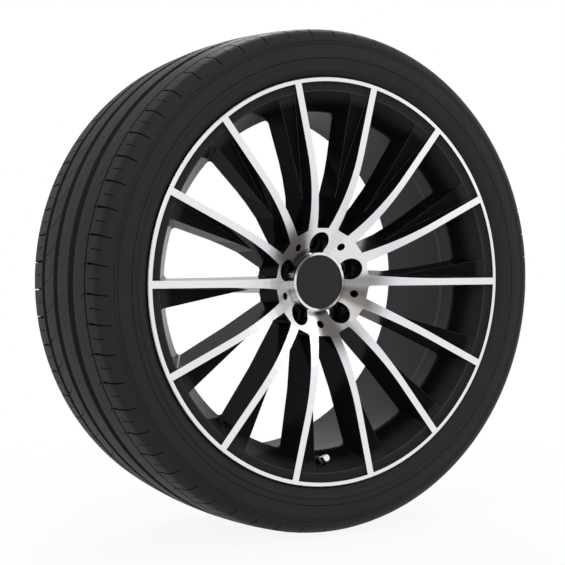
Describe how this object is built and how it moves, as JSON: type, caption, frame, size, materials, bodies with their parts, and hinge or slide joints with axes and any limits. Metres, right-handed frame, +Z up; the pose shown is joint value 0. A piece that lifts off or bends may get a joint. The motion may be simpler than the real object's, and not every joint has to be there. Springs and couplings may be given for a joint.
{
  "type": "car wheel and tyre",
  "caption": "Cast alloy car wheel with slim bright-faced spokes, black recesses and a plain centre cap, fitted with a low-profile road tyre and a clamp-in valve.",
  "frame": {"origin": "centre of the wheel: on the spin axis, midway between the rim's flanges", "axes": "+Y along the spin axis towards the car, the spoked face looks to -Y, +Z up"},
  "size_m": [0.688, 0.255, 0.6878],
  "materials": {
    "alloy": "machined faces, gloss black paint in the recesses, satin grey barrel",
    "tyre": "matt",
    "black_plastic": "matt",
    "cap_face": "satin",
    "steel": "plated",
    "dark_metal": "anodised",
    "bright_metal": "bright",
    "rubber": "matt",
    "brass": "bright"
  },
  "bodies": {
    "wheel": {"alloy_wheel": "alloy", "tyre": "tyre", "cap_body": "black_plastic", "cap_disc": "cap_face", "cap_spring_ring": "steel", "valve_stem": "dark_metal", "valve_seal": "rubber", "valve_washer": "steel", "valve_nut": "dark_metal", "core_plug": "brass", "core_sleeve": "rubber", "core_spring": "steel", "sensor_housing": "black_plastic", "sensor_cover": "black_plastic", "sensor_screw": "steel"},
    "dust_cap_seal": {"valve_cap_seal": "rubber"},
    "dust_cap": {"valve_cap": "bright_metal"},
    "core_pin": {"core_pin": "brass", "core_cup_seal": "rubber"}
  },
  "joints": [
    {"name": "dust_cap_lift", "type": "slide", "parent": "wheel", "child": "dust_cap_seal", "axis": [0.0155, -0.9397, 0.3417], "range_m": [0, 0.00476]},
    {"name": "dust_cap_turn", "type": "hinge", "parent": "dust_cap_seal", "child": "dust_cap", "pos_m": [-0.0111, -0.0899, -0.24435], "axis": [0.0155, -0.9397, 0.3417], "range_deg": [0, 2160]},
    {"name": "core_pin_press", "type": "slide", "parent": "wheel", "child": "core_pin", "axis": [-0.0155, 0.9397, -0.3417], "range_m": [0, 0.0012], "stiffness_N_per_m": 900, "springref_m": -0.0006, "deforming": ["core_spring"]}
  ],
  "couplings": [
    {"joint": "dust_cap_turn", "follows": "dust_cap_lift", "rad_per_m": 7913.2}
  ]
}
